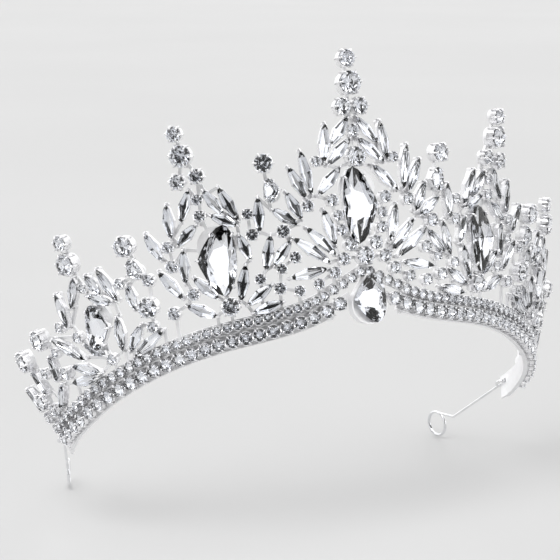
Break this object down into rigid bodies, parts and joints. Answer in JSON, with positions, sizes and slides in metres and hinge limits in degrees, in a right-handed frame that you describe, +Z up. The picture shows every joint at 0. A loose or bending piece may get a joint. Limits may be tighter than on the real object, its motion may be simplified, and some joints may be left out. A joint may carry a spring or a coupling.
{
  "type": "bridal tiara",
  "caption": "Arched silver-plated tiara with rhinestone rows, leaf and pear crystals on tall spires, a fixed centre drop, and a swinging wire hair loop at each end.",
  "frame": {"origin": "middle of the head opening, on the plane that the two hair loops stand on", "axes": "+X runs along the width, to the right as seen from the front; -Y is the front; +Z is up, with the centre spire leaning back 15 degrees, as the tiara stands with its loops on a surface"},
  "size_m": [0.1718, 0.0887, 0.1395],
  "materials": {
    "silver_plate": "bright silver plate",
    "silver_wire": "bright silver plated wire",
    "crystal": "clear faceted, foil backed"
  },
  "bodies": {
    "crown": {"band_strip_left": "silver_plate", "band_strip_right": "silver_plate", "row_cups_left": "silver_plate", "row_cups_right": "silver_plate", "lower_row_left": "crystal", "lower_row_right": "crystal", "upper_row_left": "crystal", "upper_row_right": "crystal", "centre_arch": "silver_plate", "arch_stones": "crystal", "drop_bars": "silver_plate", "drop_cup": "silver_plate", "drop_stone": "crystal", "end_tab_left": "silver_plate", "end_tab_right": "silver_plate", "centre_frame": "silver_plate", "centre_rounds": "crystal", "centre_leaves": "crystal", "centre_pear": "crystal", "inner_frame_left": "silver_plate", "inner_frame_right": "silver_plate", "inner_rounds_left": "crystal", "inner_rounds_right": "crystal", "inner_leaves_left": "crystal", "inner_leaves_right": "crystal", "second_frame_left": "silver_plate", "second_frame_right": "silver_plate", "second_rounds_left": "crystal", "second_rounds_right": "crystal", "second_leaves_left": "crystal", "second_leaves_right": "crystal", "second_pear_left": "crystal", "second_pear_right": "crystal", "outer_frame_left": "silver_plate", "outer_frame_right": "silver_plate", "outer_rounds_left": "crystal", "outer_rounds_right": "crystal", "outer_leaves_left": "crystal", "outer_leaves_right": "crystal", "third_frame_left": "silver_plate", "third_frame_right": "silver_plate", "third_rounds_left": "crystal", "third_rounds_right": "crystal", "third_leaves_left": "crystal", "third_leaves_right": "crystal", "third_pear_left": "crystal", "third_pear_right": "crystal", "end_frame_left": "silver_plate", "end_frame_right": "silver_plate", "end_rounds_left": "crystal", "end_rounds_right": "crystal", "end_leaves_left": "crystal", "end_leaves_right": "crystal"},
    "loop_left": {"hair_loop_left": "silver_wire"},
    "loop_right": {"hair_loop_right": "silver_wire"}
  },
  "joints": [
    {"name": "loop_swing_right", "type": "hinge", "parent": "crown", "child": "loop_right", "pos_m": [0.07305, 0.00299, 0.02609], "axis": [0.2881, 0.6613, 0.6926], "range_deg": [-45, 60]},
    {"name": "loop_swing_left", "type": "hinge", "parent": "crown", "child": "loop_left", "pos_m": [-0.07305, 0.00299, 0.02609], "axis": [0.2881, -0.6613, -0.6926], "range_deg": [-45, 60]}
  ]
}
